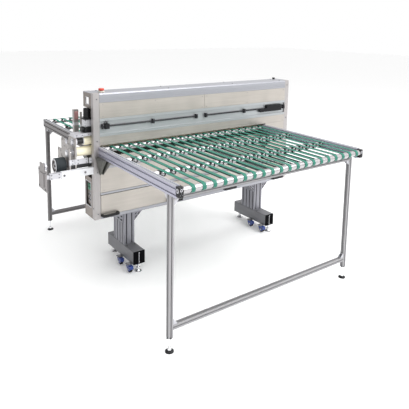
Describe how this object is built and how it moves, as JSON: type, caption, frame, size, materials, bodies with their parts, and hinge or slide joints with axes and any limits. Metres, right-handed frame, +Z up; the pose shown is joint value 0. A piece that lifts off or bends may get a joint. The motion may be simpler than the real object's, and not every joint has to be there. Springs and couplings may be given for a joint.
{
  "type": "carton sealer machine",
  "caption": "Wide through-feed carton sealer: slim roller housing on two pedestals with belt tables front and back and an end drive.",
  "frame": {"origin": "on the floor, under the middle of the box that holds the whole machine", "axes": "+Z up, +X along the roller housing away from the end drive, -Y towards the outfeed table and the side with the door"},
  "size_m": [2.18, 2.2098, 1.398],
  "materials": {
    "aluminium": "satin anodised",
    "stainless": "brushed",
    "black_plastic": "matt",
    "steel": "satin",
    "roller_steel": "ground and polished",
    "nip_rubber": "matt cream",
    "drum_grey": "matt",
    "white_paint": "satin",
    "motor_black": "satin",
    "belt_green": "matt",
    "bracket_grey": "satin",
    "button_red": "gloss",
    "caster_blue": "satin",
    "wheel_black": "matt",
    "foot_pad": "matt"
  },
  "bodies": {
    "frame": {"base_beam": "aluminium", "columns": "aluminium", "end_covers": "stainless", "end_posts": "aluminium", "foot_beam_caps": "black_plastic", "foot_beams": "bracket_grey", "front_panels": "stainless", "front_ribs": "aluminium", "guide_rods": "steel", "gusset_brackets": "bracket_grey", "head_motor": "motor_black", "infeed_belts": "belt_green", "infeed_rails": "aluminium", "infeed_stand": "aluminium", "inner_frame": "aluminium", "main_drive_motor": "motor_black", "outfeed_belts": "belt_green", "outfeed_rails": "aluminium", "outfeed_stand": "aluminium", "outrigger_beam": "white_paint", "panel_screws": "steel", "rear_covers": "stainless", "roller_end_brackets": "black_plastic", "side_plates": "steel", "slide_channel": "aluminium", "top_fittings": "black_plastic", "top_rail": "aluminium", "upper_front_covers": "stainless"},
    "outfeed_inner_roller": {"outfeed_inner_roller": "roller_steel"},
    "outfeed_end_roller": {"outfeed_end_roller": "roller_steel"},
    "outfeed_idler_1": {"outfeed_idler_1": "roller_steel"},
    "outfeed_idler_2": {"outfeed_idler_2": "roller_steel"},
    "infeed_inner_roller": {"infeed_inner_roller": "roller_steel"},
    "infeed_end_roller": {"infeed_end_roller": "roller_steel"},
    "infeed_idler_1": {"infeed_idler_1": "roller_steel"},
    "infeed_idler_2": {"infeed_idler_2": "roller_steel"},
    "lower_nip": {"lower_nip_roller": "nip_rubber"},
    "upper_nip": {"upper_nip_roller": "nip_rubber"},
    "drive_drum": {"drive_drum": "drum_grey"},
    "door": {"lower_door": "stainless", "door_handles": "black_plastic"},
    "left_carriage": {"left_carriage": "black_plastic"},
    "right_carriage": {"right_carriage": "black_plastic"},
    "emergency_stop": {"emergency_stop_button": "button_red"},
    "caster_fork_1": {"caster_fork_1": "caster_blue"},
    "caster_wheel_1": {"caster_wheel_1": "wheel_black"},
    "caster_fork_2": {"caster_fork_2": "caster_blue"},
    "caster_wheel_2": {"caster_wheel_2": "wheel_black"},
    "caster_fork_3": {"caster_fork_3": "caster_blue"},
    "caster_wheel_3": {"caster_wheel_3": "wheel_black"},
    "caster_fork_4": {"caster_fork_4": "caster_blue"},
    "caster_wheel_4": {"caster_wheel_4": "wheel_black"},
    "pedestal_foot_1": {"pedestal_foot_1": "foot_pad"},
    "pedestal_foot_2": {"pedestal_foot_2": "foot_pad"},
    "pedestal_foot_3": {"pedestal_foot_3": "foot_pad"},
    "pedestal_foot_4": {"pedestal_foot_4": "foot_pad"},
    "outfeed_left_foot": {"outfeed_left_foot": "foot_pad"},
    "outfeed_right_foot": {"outfeed_right_foot": "foot_pad"},
    "infeed_left_foot": {"infeed_left_foot": "foot_pad"},
    "infeed_right_foot": {"infeed_right_foot": "foot_pad"}
  },
  "joints": [
    {"name": "outfeed_inner_spin", "type": "hinge", "parent": "frame", "child": "outfeed_inner_roller", "pos_m": [0, -0.08, 0.973], "axis": [1, 0, 0], "continuous": true},
    {"name": "outfeed_end_spin", "type": "hinge", "parent": "frame", "child": "outfeed_end_roller", "pos_m": [0, -1.0827, 0.973], "axis": [1, 0, 0], "continuous": true},
    {"name": "outfeed_idler_1_spin", "type": "hinge", "parent": "frame", "child": "outfeed_idler_1", "pos_m": [0, -0.42, 0.974], "axis": [1, 0, 0], "continuous": true},
    {"name": "outfeed_idler_2_spin", "type": "hinge", "parent": "frame", "child": "outfeed_idler_2", "pos_m": [0, -0.765, 0.974], "axis": [1, 0, 0], "continuous": true},
    {"name": "infeed_inner_spin", "type": "hinge", "parent": "frame", "child": "infeed_inner_roller", "pos_m": [0, 0.07, 0.973], "axis": [1, 0, 0], "continuous": true},
    {"name": "infeed_end_spin", "type": "hinge", "parent": "frame", "child": "infeed_end_roller", "pos_m": [0, 1.0827, 0.973], "axis": [1, 0, 0], "continuous": true},
    {"name": "infeed_idler_1_spin", "type": "hinge", "parent": "frame", "child": "infeed_idler_1", "pos_m": [0, 0.42, 0.974], "axis": [1, 0, 0], "continuous": true},
    {"name": "infeed_idler_2_spin", "type": "hinge", "parent": "frame", "child": "infeed_idler_2", "pos_m": [0, 0.765, 0.974], "axis": [1, 0, 0], "continuous": true},
    {"name": "lower_nip_spin", "type": "hinge", "parent": "frame", "child": "lower_nip", "pos_m": [0, -0.005, 0.965], "axis": [1, 0, 0], "continuous": true},
    {"name": "upper_nip_spin", "type": "hinge", "parent": "frame", "child": "upper_nip", "pos_m": [0, -0.005, 1.037], "axis": [1, 0, 0], "continuous": true},
    {"name": "drive_drum_spin", "type": "hinge", "parent": "frame", "child": "drive_drum", "pos_m": [0, 0.02, 0.882], "axis": [1, 0, 0], "continuous": true},
    {"name": "door_swing", "type": "hinge", "parent": "frame", "child": "door", "pos_m": [0, -0.083, 0.64], "axis": [-1, 0, 0], "range_deg": [0, 80]},
    {"name": "left_carriage_slide", "type": "slide", "parent": "frame", "child": "left_carriage", "axis": [1, 0, 0], "range_m": [0, 0.335]},
    {"name": "right_carriage_slide", "type": "slide", "parent": "frame", "child": "right_carriage", "axis": [1, 0, 0], "range_m": [-0.155, 0.025]},
    {"name": "emergency_stop_press", "type": "slide", "parent": "frame", "child": "emergency_stop", "axis": [0, 0, -1], "range_m": [0, 0.004], "stiffness_N_per_m": 800, "springref_m": -0.004},
    {"name": "caster_1_swivel", "type": "hinge", "parent": "frame", "child": "caster_fork_1", "pos_m": [-0.4685, -0.042, 0.05], "axis": [0, 0, 1], "continuous": true},
    {"name": "caster_1_roll", "type": "hinge", "parent": "caster_fork_1", "child": "caster_wheel_1", "pos_m": [-0.4685, -0.062, 0.029], "axis": [1, 0, 0], "continuous": true},
    {"name": "caster_2_swivel", "type": "hinge", "parent": "frame", "child": "caster_fork_2", "pos_m": [-0.4685, 0.11, 0.05], "axis": [0, 0, 1], "continuous": true},
    {"name": "caster_2_roll", "type": "hinge", "parent": "caster_fork_2", "child": "caster_wheel_2", "pos_m": [-0.4685, 0.09, 0.029], "axis": [1, 0, 0], "continuous": true},
    {"name": "caster_3_swivel", "type": "hinge", "parent": "frame", "child": "caster_fork_3", "pos_m": [0.8565, -0.042, 0.05], "axis": [0, 0, 1], "continuous": true},
    {"name": "caster_3_roll", "type": "hinge", "parent": "caster_fork_3", "child": "caster_wheel_3", "pos_m": [0.8565, -0.062, 0.029], "axis": [1, 0, 0], "continuous": true},
    {"name": "caster_4_swivel", "type": "hinge", "parent": "frame", "child": "caster_fork_4", "pos_m": [0.8565, 0.11, 0.05], "axis": [0, 0, 1], "continuous": true},
    {"name": "caster_4_roll", "type": "hinge", "parent": "caster_fork_4", "child": "caster_wheel_4", "pos_m": [0.8565, 0.09, 0.029], "axis": [1, 0, 0], "continuous": true},
    {"name": "pedestal_foot_1_screw", "type": "slide", "parent": "frame", "child": "pedestal_foot_1", "axis": [0, 0, -1], "range_m": [0, 0.03]},
    {"name": "pedestal_foot_2_screw", "type": "slide", "parent": "frame", "child": "pedestal_foot_2", "axis": [0, 0, -1], "range_m": [0, 0.03]},
    {"name": "pedestal_foot_3_screw", "type": "slide", "parent": "frame", "child": "pedestal_foot_3", "axis": [0, 0, -1], "range_m": [0, 0.03]},
    {"name": "pedestal_foot_4_screw", "type": "slide", "parent": "frame", "child": "pedestal_foot_4", "axis": [0, 0, -1], "range_m": [0, 0.03]},
    {"name": "outfeed_left_foot_screw", "type": "slide", "parent": "frame", "child": "outfeed_left_foot", "axis": [0, 0, -1], "range_m": [0, 0.03]},
    {"name": "outfeed_right_foot_screw", "type": "slide", "parent": "frame", "child": "outfeed_right_foot", "axis": [0, 0, -1], "range_m": [0, 0.03]},
    {"name": "infeed_left_foot_screw", "type": "slide", "parent": "frame", "child": "infeed_left_foot", "axis": [0, 0, -1], "range_m": [0, 0.03]},
    {"name": "infeed_right_foot_screw", "type": "slide", "parent": "frame", "child": "infeed_right_foot", "axis": [0, 0, -1], "range_m": [0, 0.03]}
  ],
  "couplings": [
    {"joint": "outfeed_end_spin", "follows": "outfeed_inner_spin", "ratio": 1},
    {"joint": "outfeed_idler_1_spin", "follows": "outfeed_inner_spin", "ratio": 1.0526},
    {"joint": "outfeed_idler_2_spin", "follows": "outfeed_inner_spin", "ratio": 1.0526},
    {"joint": "infeed_end_spin", "follows": "infeed_inner_spin", "ratio": 1},
    {"joint": "infeed_idler_1_spin", "follows": "infeed_inner_spin", "ratio": 1.0526},
    {"joint": "infeed_idler_2_spin", "follows": "infeed_inner_spin", "ratio": 1.0526},
    {"joint": "upper_nip_spin", "follows": "lower_nip_spin", "ratio": -1.0667},
    {"joint": "drive_drum_spin", "follows": "lower_nip_spin", "ratio": 1}
  ]
}
